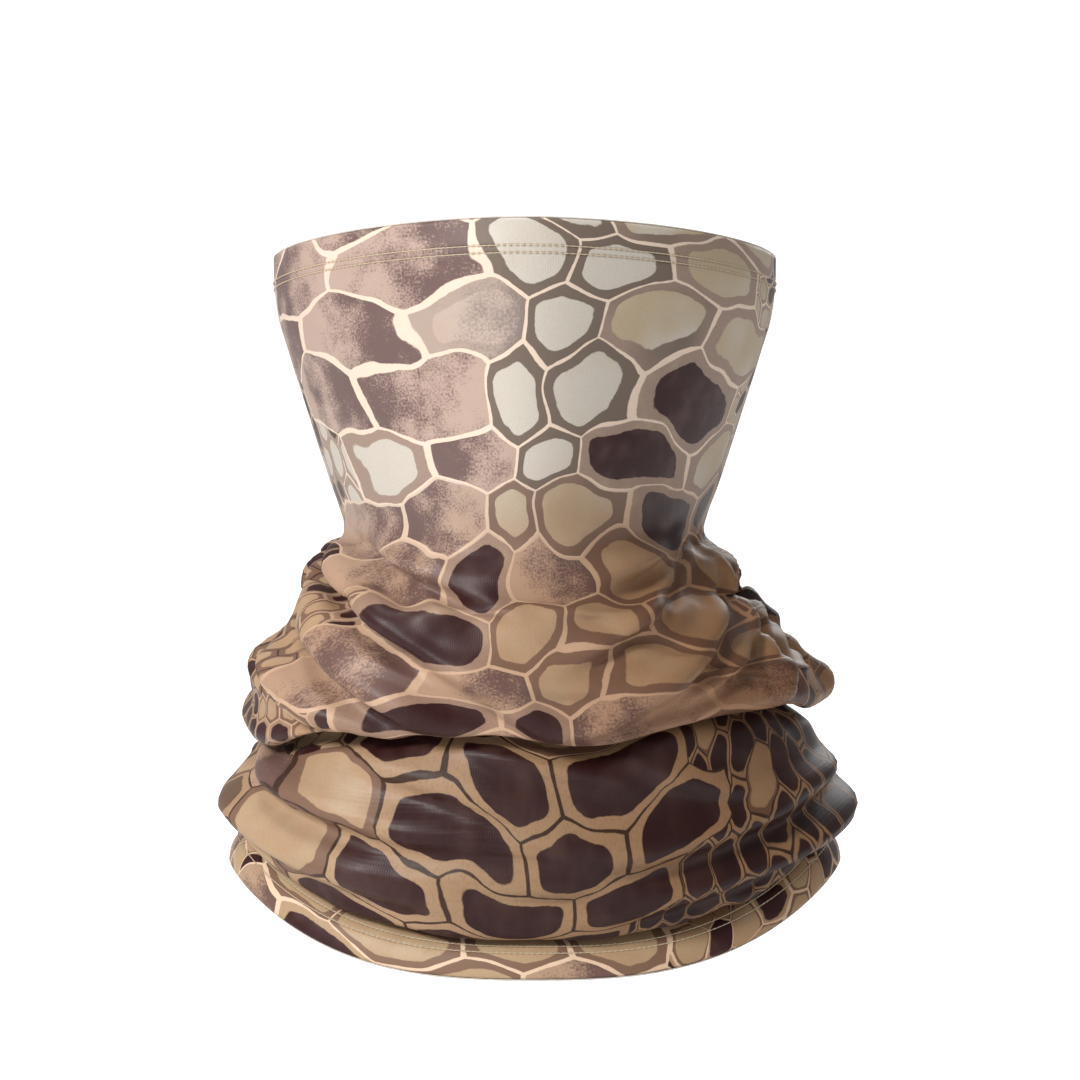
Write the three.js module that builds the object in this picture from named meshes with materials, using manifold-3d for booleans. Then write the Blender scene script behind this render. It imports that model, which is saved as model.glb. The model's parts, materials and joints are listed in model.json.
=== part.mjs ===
// Camouflage face mask: a seamed tube of stretch knit with a double-stitched hem at each end, in its worn
// shape. It stands smooth over the face, closes in at the neck and lies in two draped folds on the collar.
//
// Millimetres, +Z up, the face looks along -Y. The origin is on the neck's axis where the tube is narrowest.
//
// The cloth is drawn once as a line in the plane of radius and height. Each piece is a length of that line
// with its own wall, turned about the axis by LatheGeometry, and one smooth map then gives every piece the
// oval plan of a head, a neck and a collar, the ridge of the nose and the dip of the hem over the chest.

import * as THREE from "three";
import { mergeVertices } from "three/addons/utils/BufferGeometryUtils.js";
import Module from "manifold-3d";

const wasm = await Module();
wasm.setup();

// ---------------------------------------------------------------- driving dimensions

const segments = 36; // flats around the tube
const pieceGap = 0.3; // between two pieces that touch
const clothWall = 0.8;
const squareEnd = 0.6; // the length of a piece's end that is cut square to the cloth

const rim = { halfWidth: 80, halfDepth: 95, height: 95 };
const neck = { halfWidth: 56, halfDepth: 62 };
const neckRoll = { out: 11, drop: 12, in: 4 };
const upperDrape = { halfWidth: 92, halfDepth: 78, drop: 67, tuckRise: 24 };
const lowerDrape = { halfWidth: 100, halfDepth: 70, drop: 89.5, tuckRise: 14 };
const hemEdge = { halfWidth: 98, drop: 102 };
const lean = 3; // of the drapes to the wearer's left

const rollRadius = 3.2; // of the cloth where a drape rolls under
const tuck = { depth: 11, layerGap: 4.5, end: 1 }; // the cloth hidden behind each drape

const nose = { rise: 5, halfAngle: 0.3, height: 62, spread: 45 };
const throat = { ease: 6, halfAngle: 0.9, height: -9, spread: 5.5 }; // the neck's roll fades out in front
const chin = { rise: 19, halfAngle: 0.95, height: 12, above: 40, below: 35 }; // the cloth stands off the throat
const hemDip = { front: 30, back: 16 }; // how far the hem hangs below its sides

const topHem = { depth: 13, rowFromEdge: 7 };
const bottomHem = { depth: 14.5, rowFromEdge: 8.5 };
const rowSpacing = 3; // a twin needle's
const threadThickness = 0.5;
const looperHeight = 0.4;

const seam = { width: 6, thickness: 1, clearance: 0.6, threadWidth: 0.8 };

// ---------------------------------------------------------------- colours

const finishes = {
  print: { color: 0xa98a72, roughness: 0.62 },
  knitBack: { color: 0xe4dcd0, roughness: 0.9 },
  thread: { color: 0xd9c3a0, roughness: 0.55 },
};

function material(finish) {
  return new THREE.MeshStandardMaterial({ ...finishes[finish], metalness: 0 });
}

// ---------------------------------------------------------------- the cloth's line, radius and height

const at = (radius, height) => new THREE.Vector2(radius, height);

// From the rim down the face to the neck's narrowest place.
const faceRun = [
  at(rim.halfWidth, rim.height),
  at(rim.halfWidth - 0.6, rim.height - topHem.depth),
  at(THREE.MathUtils.lerp(neck.halfWidth, rim.halfWidth, 0.8), rim.height * 0.66),
  at(THREE.MathUtils.lerp(neck.halfWidth, rim.halfWidth, 0.55), rim.height * 0.44),
  at(THREE.MathUtils.lerp(neck.halfWidth, rim.halfWidth, 0.25), rim.height * 0.2),
  at(neck.halfWidth + 0.8, 4.5),
];

// A soft roll that the loose cloth makes at the neck.
const rollRun = [
  at(neck.halfWidth, 0),
  at(neck.halfWidth + neckRoll.out * 0.3, -neckRoll.drop * 0.28),
  at(neck.halfWidth + neckRoll.out * 0.75, -neckRoll.drop * 0.45),
  at(neck.halfWidth + neckRoll.out, -neckRoll.drop * 0.75),
  at(neck.halfWidth + neckRoll.out - neckRoll.in * 0.4, -neckRoll.drop * 1.05),
  at(neck.halfWidth + neckRoll.out - neckRoll.in * 0.5, -neckRoll.drop * 1.35),
];

// A drape swells from the crease above it to its outermost place, then rolls under to a point inside.
function drapeRun(crease, drape) {
  const fall = -drape.drop - crease.y;
  const swell = drape.halfWidth - crease.x;
  return [
    at(crease.x + swell * 0.32, crease.y + fall * 0.12),
    at(crease.x + swell * 0.55, crease.y + fall * 0.36),
    at(crease.x + swell * 0.88, crease.y + fall * 0.62),
    at(drape.halfWidth, -drape.drop + rollRadius * 1.4),
    at(drape.halfWidth - rollRadius * 0.7, -drape.drop + rollRadius * 0.25),
    at(drape.halfWidth - rollRadius * 1.7, -drape.drop),
  ];
}

// Behind a drape the cloth climbs to a hidden crease, turns and comes down again to the next drape.
function tuckRun(crease, drape) {
  const highest = THREE.MathUtils.lerp(crease.y, -drape.drop, 0.4); // where the drape is wide enough for it
  const top = Math.min(-drape.drop + drape.tuckRise, highest);
  const inside = drape.halfWidth - rollRadius - tuck.depth;
  return [
    at(drape.halfWidth - rollRadius - tuck.depth * 0.4, -drape.drop + tuck.layerGap * 0.55),
    at(inside + tuck.layerGap * 0.55, top - tuck.layerGap * 0.55),
    at(inside, top),
    at(inside - tuck.layerGap * 0.55, top - tuck.layerGap * 0.35),
    at(inside - tuck.layerGap * 0.4, -drape.drop + tuck.end + tuck.layerGap * 0.7),
    at(inside + tuck.layerGap * 0.3, -drape.drop + tuck.end),
  ];
}

const upperDrapeRun = drapeRun(rollRun.at(-1), upperDrape);
const upperTuckRun = tuckRun(rollRun.at(-1), upperDrape);
const lowerDrapeRun = drapeRun(upperTuckRun.at(-1), lowerDrape);
const lowerTuckRun = tuckRun(upperTuckRun.at(-1), lowerDrape);

// From the last crease the hem band flares out to the tube's bottom edge.
const hemStart = lowerTuckRun.at(-1);
const hemRun = [
  at(THREE.MathUtils.lerp(hemStart.x, hemEdge.halfWidth, 0.55), THREE.MathUtils.lerp(hemStart.y, -hemEdge.drop, 0.28)),
  at(THREE.MathUtils.lerp(hemStart.x, hemEdge.halfWidth, 0.88), THREE.MathUtils.lerp(hemStart.y, -hemEdge.drop, 0.58)),
  at(hemEdge.halfWidth, -hemEdge.drop),
];

const runs = [faceRun, rollRun, upperDrapeRun, upperTuckRun, lowerDrapeRun, lowerTuckRun, hemRun];
const clothPoints = runs.flat();
const clothLine = new THREE.SplineCurve(clothPoints);

// The line between two of its points, by their places in clothPoints, with steps samples for each span.
function lineBetween(first, last, steps) {
  const spans = clothPoints.length - 1;
  const count = (last - first) * steps;
  return Array.from({ length: count + 1 }, (_, i) => clothLine.getPoint((first + i / steps) / spans));
}

// ---------------------------------------------------------------- lines and their walls

function cutShort(line, start, end) {
  const cut = line.map((p) => p.clone());
  const move = (from, to, distance) => from.add(to.clone().sub(from).setLength(distance));
  if (start > 0) move(cut[0], cut[1], start);
  if (end > 0) move(cut.at(-1), cut.at(-2), end);
  return cut;
}

// The unit normal at each point, to the outside of the tube for a line that runs from the rim to the hem.
function normals(line) {
  return line.map((_, i) => {
    const along = line[Math.min(i + 1, line.length - 1)].clone().sub(line[Math.max(i - 1, 0)]).normalize();
    return at(-along.y, along.x);
  });
}

function moved(line, distance) {
  const out = normals(line);
  return line.map((p, i) => p.clone().addScaledVector(out[i], distance));
}

// The closed outline of a wall about a line.
function wallAbout(line, wall) {
  return [...moved(line, -wall / 2), ...moved(line, wall / 2).reverse()];
}

// The part of a line within a distance of its start.
function lengthOf(line, distance) {
  const kept = [line[0].clone()];
  let left = distance;
  for (let i = 1; i < line.length && left > 0; i++) {
    const step = line[i].clone().sub(line[i - 1]);
    const length = step.length();
    kept.push(line[i - 1].clone().addScaledVector(step, Math.min(1, left / length)));
    left -= length;
  }
  return kept;
}

// ---------------------------------------------------------------- from the turned shape to the worn shape

const { smoothstep, lerp } = THREE.MathUtils;

// Half the depth over half the width of the tube's plan at a height.
function depthShare(height) {
  const rimShare = rim.halfDepth / rim.halfWidth;
  const neckShare = neck.halfDepth / neck.halfWidth;
  const upperShare = upperDrape.halfDepth / upperDrape.halfWidth;
  const lowerShare = lowerDrape.halfDepth / lowerDrape.halfWidth;
  const above = lerp(neckShare, rimShare, smoothstep(height, 0, rim.height));
  const below = lerp(above, upperShare, smoothstep(-height, 0, upperDrape.drop));
  return lerp(below, lowerShare, smoothstep(-height, upperDrape.drop, lowerDrape.drop));
}

// How far a place at an angle from the front hangs below the same place at the side.
function dip(angle, height) {
  const most = Math.cos(angle) > 0 ? hemDip.front : hemDip.back;
  const reach = smoothstep(-height, upperDrape.drop - 7, lowerDrape.drop - 1.5);
  return most * reach * (1 - Math.abs(Math.sin(angle)) ** 3);
}

function noseRise(angle, height) {
  const across = Math.exp(-((angle / nose.halfAngle) ** 2));
  const up = Math.exp(-(((height - nose.height) / nose.spread) ** 2));
  return nose.rise * across * up;
}

function throatEase(angle, height) {
  const across = Math.exp(-((angle / throat.halfAngle) ** 2));
  const up = Math.exp(-(((height - throat.height) / throat.spread) ** 2));
  return throat.ease * across * up;
}

function chinRise(angle, height) {
  const across = Math.exp(-((angle / chin.halfAngle) ** 2));
  const spread = height > chin.height ? chin.above : chin.below;
  const up = Math.exp(-(((height - chin.height) / spread) ** 2));
  return chin.rise * across * up;
}

// LatheGeometry turns about Y and starts at +Z, which becomes the front of the mask, -Y.
function worn(geometry) {
  const place = geometry.getAttribute("position");
  for (let i = 0; i < place.count; i++) {
    const [side, height, front] = [place.getX(i), place.getY(i), place.getZ(i)];
    const angle = Math.atan2(side, front);
    const face = noseRise(angle, height) + chinRise(angle, height) - throatEase(angle, height);
    const forward = front * depthShare(height) + face;
    const across = side + lean * smoothstep(-height, neckRoll.drop, upperDrape.drop);
    place.setXYZ(i, across, -forward, height - dip(angle, height));
  }
  return geometry;
}

function turned(outline) {
  return worn(new THREE.LatheGeometry([...outline, outline[0]], segments));
}

// ---------------------------------------------------------------- manifold-3d, for the back seam's cuts

function solid(geometry) {
  const bare = new THREE.BufferGeometry().setIndex(geometry.getIndex());
  bare.setAttribute("position", geometry.getAttribute("position"));
  const merged = mergeVertices(bare, 1e-3);
  const vertProperties = new Float32Array(merged.getAttribute("position").array);
  const triVerts = new Uint32Array(merged.getIndex().array);
  return new wasm.Manifold(new wasm.Mesh({ numProp: 3, vertProperties, triVerts }));
}

function geometryOf(manifold) {
  const mesh = manifold.getMesh();
  const geometry = new THREE.BufferGeometry();
  geometry.setAttribute("position", new THREE.BufferAttribute(mesh.vertProperties, 3));
  geometry.setIndex(new THREE.BufferAttribute(mesh.triVerts, 1));
  return geometry;
}

// The part of a turned shape at the back, between two places across.
function backStrip(outline, fromX, toX) {
  const reach = 2 * hemEdge.halfWidth;
  const block = new THREE.BoxGeometry(toX - fromX, reach, 2 * reach);
  block.translate((fromX + toX) / 2, reach / 2, 0);
  return geometryOf(solid(turned(outline)).intersect(solid(block)));
}

// ---------------------------------------------------------------- pieces

const mask = new THREE.Group();

function add(name, geometry, finish) {
  const mesh = new THREE.Mesh(geometry, material(finish));
  mesh.name = name;
  mask.add(mesh);
}

// Where each run starts in clothPoints. A piece of cloth runs from one start to the next.
const starts = runs.map((_, i) => runs.slice(0, i).flat().length);
const [faceStart, rollStart, upperStart, upperTuckStart, lowerStart, lowerTuckStart, hemRunStart] = starts;
const hemStartsAt = hemRunStart - 1; // at the last crease
const half = pieceGap / 2;

// Each end of a piece is cut square to the cloth, so that two neighbours meet face to face.
function addCloth(name, first, last) {
  const line = lineBetween(first, last, 1);
  const spans = clothPoints.length - 1;
  const stub = (end, distance) => end.clone().addScaledVector(clothLine.getTangent(end.place / spans), distance);
  const start = Object.assign(line.shift(), { place: first });
  const end = Object.assign(line.pop(), { place: last });
  const near = [half, half + squareEnd].map((distance) => stub(start, distance));
  const far = [half + squareEnd, half].map((distance) => stub(end, -distance));
  add(name, turned(wallAbout([...near, ...line, ...far], clothWall)), "print");
}

// The face panel starts below the top hem, and the hem's face is the line above it.
addCloth("face_panel", faceStart + 1, rollStart);
addCloth("neck_roll", rollStart, upperStart);
addCloth("upper_drape", upperStart, upperTuckStart);
addCloth("upper_tuck", upperTuckStart, lowerStart);
addCloth("lower_drape", lowerStart, lowerTuckStart);
addCloth("lower_tuck", lowerTuckStart, hemStartsAt);

// A hem: its face, the edge turned in behind it, two needle threads outside and a looper thread inside.
// line runs from the edge of the tube into it, and inside says on which side of it the wearer is.
function addHem(name, line, hem, inside) {
  const layer = clothWall + pieceGap;
  const face = cutShort(line, 0, half);
  const place = (distance, offset) => {
    const near = lengthOf(line, distance);
    return moved(near, inside * offset).at(-1);
  };

  // The turned edge starts with a half circle about the edge of the tube.
  const back = moved(lengthOf(line, hem.depth - 1), inside * layer);
  const middle = back[0].clone().add(line[0]).multiplyScalar(0.5);
  const outward = line[0].clone().sub(line[1]).normalize();
  const across = back[0].clone().sub(middle);
  const bend = [0.35, 0.65, 0.95].map((share) => {
    const turn = share * Math.PI;
    const side = across.clone().multiplyScalar(-Math.cos(turn));
    return middle.clone().add(side).addScaledVector(outward, Math.sin(turn) * across.length());
  });
  const turning = [...bend, ...back.slice(1)];

  add(`${name}_hem_face`, turned(wallAbout(face, clothWall)), "print");
  add(`${name}_hem_turning`, turned(wallAbout(turning, clothWall)), "knitBack");

  const onFace = -(clothWall + threadThickness) / 2 - pieceGap;
  const onTurning = layer + clothWall / 2 + pieceGap + looperHeight / 2;
  const ring = (distance, offset, width, height) => {
    const centre = place(distance, offset);
    const next = place(distance + 1, offset);
    const along = next.clone().sub(centre).normalize();
    const run = [-0.5, 0.5].map((share) => centre.clone().addScaledVector(along, share * width));
    return turned(wallAbout(run, height));
  };
  add(`${name}_hem_outer_needle_thread`, ring(hem.rowFromEdge, onFace, threadThickness, threadThickness), "thread");
  const innerRow = hem.rowFromEdge + rowSpacing;
  add(`${name}_hem_inner_needle_thread`, ring(innerRow, onFace, threadThickness, threadThickness), "thread");
  const middleRow = hem.rowFromEdge + rowSpacing / 2;
  add(`${name}_hem_looper_thread`, ring(middleRow, onTurning, rowSpacing, looperHeight), "thread");
}

addHem("top", lineBetween(faceStart, faceStart + 1, 2), topHem, -1);
addHem("bottom", lineBetween(hemStartsAt, clothPoints.length - 1, 2).reverse(), bottomHem, 1);

// The back seam: both cut edges of the tube stand inside along its back, bound with an overlock thread.
function addSeam(name, first, last) {
  const clear = clothWall / 2 + seam.clearance + seam.thickness / 2;
  const line = cutShort(lineBetween(first, last, 1), 1, 1);
  const outline = wallAbout(moved(line, -clear), seam.thickness);
  const edge = seam.width / 2;
  add(`back_seam_allowance_${name}`, backStrip(outline, -edge, edge), "knitBack");
  const threadFrom = edge + pieceGap;
  add(`back_seam_overlock_${name}`, backStrip(outline, threadFrom, threadFrom + seam.threadWidth), "thread");
}

addSeam("upper", faceStart + 1, rollStart);
addSeam("lower", rollStart, lowerTuckStart);

export default mask;
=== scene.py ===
import json
import math

import bmesh
import bpy
import numpy as np
from bpy.props import FloatProperty, FloatVectorProperty, PointerProperty
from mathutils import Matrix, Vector, noise

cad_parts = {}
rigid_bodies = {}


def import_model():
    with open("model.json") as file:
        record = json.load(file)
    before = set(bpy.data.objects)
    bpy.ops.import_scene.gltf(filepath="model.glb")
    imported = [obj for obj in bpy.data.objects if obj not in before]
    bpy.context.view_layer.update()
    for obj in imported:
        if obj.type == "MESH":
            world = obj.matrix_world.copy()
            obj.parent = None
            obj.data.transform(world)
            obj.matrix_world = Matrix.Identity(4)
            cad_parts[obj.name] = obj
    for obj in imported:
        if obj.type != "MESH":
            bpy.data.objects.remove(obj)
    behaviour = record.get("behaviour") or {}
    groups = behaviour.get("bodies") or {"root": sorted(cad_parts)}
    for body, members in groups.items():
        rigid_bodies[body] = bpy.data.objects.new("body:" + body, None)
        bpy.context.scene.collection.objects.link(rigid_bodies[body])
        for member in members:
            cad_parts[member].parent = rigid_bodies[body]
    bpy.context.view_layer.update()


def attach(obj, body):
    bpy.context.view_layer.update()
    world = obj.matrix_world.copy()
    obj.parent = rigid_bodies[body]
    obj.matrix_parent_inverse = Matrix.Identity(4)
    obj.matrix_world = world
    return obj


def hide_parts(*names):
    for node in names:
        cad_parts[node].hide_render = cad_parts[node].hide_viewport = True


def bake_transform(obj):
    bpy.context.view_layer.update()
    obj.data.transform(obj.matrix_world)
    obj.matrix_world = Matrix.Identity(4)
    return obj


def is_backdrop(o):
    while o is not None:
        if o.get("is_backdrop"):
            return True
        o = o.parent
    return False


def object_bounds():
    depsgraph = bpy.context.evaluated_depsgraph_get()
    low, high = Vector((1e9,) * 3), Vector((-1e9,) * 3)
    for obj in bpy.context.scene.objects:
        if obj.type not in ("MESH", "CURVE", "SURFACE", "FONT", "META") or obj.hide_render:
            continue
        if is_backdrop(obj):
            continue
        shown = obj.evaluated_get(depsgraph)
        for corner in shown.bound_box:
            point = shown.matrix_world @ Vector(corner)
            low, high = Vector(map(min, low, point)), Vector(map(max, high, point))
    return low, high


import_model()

bl_info = {
    "name": "Camouflage face mask",
    "version": (1, 0, 0),
    "blender": (4, 5, 0),
    "location": "View3D > Sidebar > Mask",
    "description": "Makes a printed knit face mask, worn, with its hems, stitching and back seam",
    "category": "Add Mesh",
}

MM = 0.001
UPPER, LOWER = "face_and_upper_drape_cloth", "lower_drape_and_hem_cloth"

# Each hem that is pulled down: the body above it, its band, a first place and a second place.
TOP_PULL = ("collar", "top_band", (0, 0, -0.020), (0, 0, 0.076))
BOTTOM_PULL = ("collar", "bottom_band", (0, 0, -0.050), (0, 0, -0.100))
HEM_TRAVEL = 0.040  # the floor leaves this much room below the hem

# The cloth's rows and columns while it crumples, and when it is done.
COARSE_ROWS, COARSE_COLUMNS = 96, 112
FINE_ROWS, FINE_COLUMNS = 224, 264
CRUMPLE_FRAMES = 24
CRUMPLE_SCALE = 10.0  # the solver is steady at ten times life size
CURVE_STEPS = 24  # points along a curve between two of the places it runs through

# Rows of needle stitches, from the cloth's edge.
TOP_STITCH_ROWS = (0.008, 0.0102)
BOTTOM_STITCH_ROWS = (0.009, 0.012)
POINTS_PER_STITCH = 5
HEM_GAP = 0.15 * MM  # between the cloth and its turned edge
SEAM_GAP = 0.2 * MM  # between the cloth and the seam's cut edges

CAMERA_PLACE, CAMERA_LENS = (0.0048, -1.0, 0.0), 104.2


# ---------------------------------------------------------------- settings

def size(name, text, value):
    return FloatProperty(name=name, description=text, default=value, subtype="DISTANCE", unit="LENGTH")


def colour(name, text, value):
    return FloatVectorProperty(name=name, description=text, default=value, subtype="COLOR", size=3,
                               min=0, max=1)


class MASK_PG_sizes(bpy.types.PropertyGroup):
    """Sizes of the worn cloth and of its sewing."""

    rim_half_width: size("Rim half width", "Half the width over the face", 0.080)
    rim_half_depth: size("Rim half depth", "Half the depth over the face", 0.095)
    rim_height: size("Rim height", "Height of the rim above the neck", 0.0930)
    rim_dip: size("Rim dip", "How much lower the rim is at the sides than over the nose", 0.0040)
    edge_lift: size("Edge lift", "How far the upper drape's edge is drawn up at one side", 0.0090)
    neck_half_width: size("Neck half width", "Half the width where the tube is narrowest", 0.056)
    neck_half_depth: size("Neck half depth", "Half the depth where the tube is narrowest", 0.062)
    upper_half_width: size("Upper drape half width", "Half the width of the upper drape", 0.092)
    upper_half_depth: size("Upper drape half depth", "Half the depth of the upper drape", 0.078)
    upper_drop: size("Upper drape drop", "How far the upper drape hangs below the neck", 0.0605)
    lower_half_width: size("Lower drape half width", "Half the width of the lower drape", 0.100)
    lower_half_depth: size("Lower drape half depth", "Half the depth of the lower drape", 0.070)
    lower_drop: size("Lower drape drop", "How far the lower drape hangs below the neck", 0.0895)
    upper_tuck: size("Upper tuck", "How far the cloth climbs behind the upper drape", 0.020)
    lower_tuck: size("Lower tuck", "How far the cloth climbs behind the lower drape", 0.014)
    hem_half_width: size("Hem half width", "Half the width of the bottom edge", 0.098)
    hem_drop: size("Hem drop", "How far the bottom edge hangs below the neck at its sides", 0.1015)
    lean: size("Lean", "How far the drapes lean to one side", 0.003)
    girth: size("Flat girth", "Twice the flat width of the tube", 0.500)
    cloth: size("Cloth", "Thickness of the knit", 0.0006)
    thread: size("Thread", "Thickness of the sewing thread", 0.00034)
    stitch: size("Stitch", "Length of a stitch", 0.0017)
    hem_depth: size("Hem depth", "Depth of the turned hem", 0.013)


class MASK_PG_colours(bpy.types.PropertyGroup):
    """Colours of the print, the knit's back and the thread."""

    cream: colour("Cream", "Palest scales", (0.56, 0.505, 0.435))
    khaki: colour("Khaki", "Sandy scales", (0.46, 0.36, 0.24))
    mauve: colour("Mauve", "Dark part of the stippled scales", (0.150, 0.092, 0.084))
    pink: colour("Pink", "Pale part of the stippled scales", (0.46, 0.33, 0.27))
    maroon: colour("Maroon", "Darkest scales", (0.034, 0.008, 0.0085))
    band: colour("Dark band", "Grey-brown round the pale scales", (0.165, 0.125, 0.098))
    pale_band: colour("Pale band", "Pinkish brown round the scales", (0.33, 0.235, 0.185))
    tan: colour("Tan", "Tan scales, and bands round the dark ones", (0.44, 0.315, 0.205))
    brown: colour("Brown", "Brown bands of the lower cloth", (0.185, 0.108, 0.072))
    line: colour("Line", "Thin pale lines between scales", (0.76, 0.60, 0.48))
    dark_line: colour("Dark line", "Thin dark lines between scales", (0.055, 0.028, 0.018))
    back: colour("Knit back", "Unprinted side of the knit", (0.72, 0.67, 0.60))
    thread: colour("Thread", "Sewing thread", (0.62, 0.50, 0.34))


# ---------------------------------------------------------------- the worn form

def smooth(value, low, high):
    t = np.clip((value - low) / (high - low), 0, 1)
    return t * t * (3 - 2 * t)


def cubic(a, b, c, d, t):
    """The Catmull-Rom curve between b and c."""
    return 0.5 * (2 * b + (c - a) * t + (2 * a - 5 * b + 4 * c - d) * t**2 + (3 * b - a - 3 * c + d) * t**3)


def dense_curve(points):
    """Close points along a Catmull-Rom curve through points, and the length up to each."""
    p = np.vstack([2 * points[0] - points[1], points, 2 * points[-1] - points[-2]])
    dense = []
    for a, b, c, d in zip(p, p[1:], p[2:], p[3:]):
        t = np.linspace(0, 1, CURVE_STEPS, endpoint=False)[:, None]
        dense.append(cubic(a, b, c, d, t))
    dense = np.vstack(dense + [points[-1:]])
    return dense, np.concatenate([[0], np.cumsum(np.linalg.norm(np.diff(dense, axis=0), axis=1))])


def spline(points, count):
    """Points along a smooth curve through points, evenly spaced by length."""
    dense, run = dense_curve(points)
    at = np.linspace(0, run[-1], count)
    return np.column_stack([np.interp(at, run, dense[:, i]) for i in range(dense.shape[1])]), at


def stations(s):
    """Lengths of cloth from the rim to the places where it turns."""
    runs = [dense_curve(cloth_line(s, roll))[1] for roll in (0.0, 1.0)]
    total = sum(run[-1] for run in runs) / 2
    knots = {"neck": 5, "roll_end": 9, "upper_edge": 15, "upper_crease": 18, "lower_start": 21,
             "lower_edge": 27, "lower_crease": 30, "hem_start": 33}
    places = {}
    for name, knot in knots.items():
        places[name] = total * sum(run[knot * CURVE_STEPS] / run[-1] for run in runs) / 2
    places["end"] = total
    return places


def cloth_line(s, roll):
    """Radius and height of the cloth from the rim to the bottom edge. roll is how full the neck's roll is."""
    def between(a, b, share):
        return a + (b - a) * share

    face = [
        (s.rim_half_width, s.rim_height),
        (s.rim_half_width - 0.6 * MM, s.rim_height - 13 * MM),
        (between(s.neck_half_width, s.rim_half_width, 0.8), s.rim_height * 0.66),
        (between(s.neck_half_width, s.rim_half_width, 0.55), s.rim_height * 0.44),
        (between(s.neck_half_width, s.rim_half_width, 0.25), s.rim_height * 0.2),
    ]
    out, drop = (0.3 + 0.7 * roll) * 11 * MM, 12 * MM
    neck = [
        (s.neck_half_width + 0.8 * MM, 4.5 * MM),
        (s.neck_half_width + 0.1 * out, -drop * 0.1),
        (s.neck_half_width + 0.75 * out, -drop * 0.45),
        (s.neck_half_width + out, -drop * 0.8),
        (s.neck_half_width + 9 * MM, -drop * 1.35),
    ]

    def drape(crease, half_width, drop, bend=3.2 * MM):
        fall, swell = -drop - crease[1], half_width - crease[0]
        return [
            (crease[0] + swell * 0.32, crease[1] + fall * 0.12),
            (crease[0] + swell * 0.55, crease[1] + fall * 0.36),
            (crease[0] + swell * 0.88, crease[1] + fall * 0.62),
            (half_width, -drop + bend * 1.6),
            (half_width - bend * 0.6, -drop + bend * 0.3),
            (half_width - bend * 1.7, -drop),
        ]

    def tuck(half_width, drop, rise):
        top, inside = -drop + rise, half_width - 14.2 * MM
        return [
            (half_width - 7.6 * MM, -drop + 2.5 * MM),
            (inside + 2.5 * MM, top - 2.5 * MM),
            (inside, top),
            (inside - 2.5 * MM, top - 1.6 * MM),
            (inside - 1.8 * MM, -drop + 4.2 * MM),
            (inside + 1.4 * MM, -drop + 1 * MM),
        ]

    upper = drape(neck[-1], s.upper_half_width, s.upper_drop)
    upper_tuck = tuck(s.upper_half_width, s.upper_drop, s.upper_tuck)
    lower = drape(upper_tuck[-1], s.lower_half_width, s.lower_drop)
    lower_tuck = tuck(s.lower_half_width, s.lower_drop, s.lower_tuck)
    start = lower_tuck[-1]
    hem = [
        (between(start[0], s.hem_half_width, 0.6), between(start[1], -s.hem_drop, 0.28)),
        (between(start[0], s.hem_half_width, 0.92), between(start[1], -s.hem_drop, 0.6)),
        (s.hem_half_width, -s.hem_drop),
    ]
    return np.array(face + neck + upper + upper_tuck + lower + lower_tuck + hem)


def worn(s, angle, radius, height):
    """The oval plan, the nose's ridge, the chin, the lean and the dip of the lower cloth."""
    rim_share = s.rim_half_depth / s.rim_half_width
    neck_share = s.neck_half_depth / s.neck_half_width
    share = neck_share + (rim_share - neck_share) * smooth(height, 0, s.rim_height)
    share += (s.upper_half_depth / s.upper_half_width - share) * smooth(-height, 0, s.upper_drop)
    share += (s.lower_half_depth / s.lower_half_width - share) * smooth(-height, s.upper_drop, s.lower_drop)
    forward = radius * np.cos(angle) * share
    forward += 5 * MM * np.exp(-((angle / 0.3) ** 2)) * np.exp(-(((height - 62 * MM) / (45 * MM)) ** 2))
    spread = np.where(height > 12 * MM, 40 * MM, 35 * MM)
    forward += 19 * MM * np.exp(-((angle / 0.95) ** 2)) * np.exp(-(((height - 12 * MM) / spread) ** 2))
    side = radius * np.sin(angle) + s.lean * smooth(-height, 12 * MM, s.upper_drop)
    most = np.where(np.cos(angle) > 0, 30 * MM, 16 * MM)
    reach = smooth(-height, s.upper_drop - 1 * MM, s.lower_drop - 1.5 * MM)
    dip = most * reach * (1 - np.abs(np.sin(angle)) ** 3)
    dip += s.rim_dip * np.sin(angle) ** 2 * smooth(height, 35 * MM, s.rim_height)
    edge = np.exp(-(((height + s.upper_drop - 4 * MM) / (19 * MM)) ** 2))
    dip += edge * (1.6 * np.sin(5 * angle + 0.6) + 1.0 * np.sin(9 * angle - 0.4)) * MM
    dip -= s.edge_lift * edge * smooth(np.sin(angle), 0.15, 1.0)
    return np.stack([side, -forward, height - dip], axis=-1)


def soft_noise(points, scale, seed):
    flat = points.reshape(-1, 3) * scale + seed
    return np.array([noise.noise(Vector(p)) for p in flat]).reshape(points.shape[:-1])


def normals_of(grid):
    """Outward normals of a grid of rows round the tube."""
    across = np.roll(grid, -1, axis=1) - np.roll(grid, 1, axis=1)
    down = np.gradient(grid, axis=0)
    n = np.cross(across, down)
    n /= np.maximum(np.linalg.norm(n, axis=-1, keepdims=True), 1e-12)
    return -n


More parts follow.
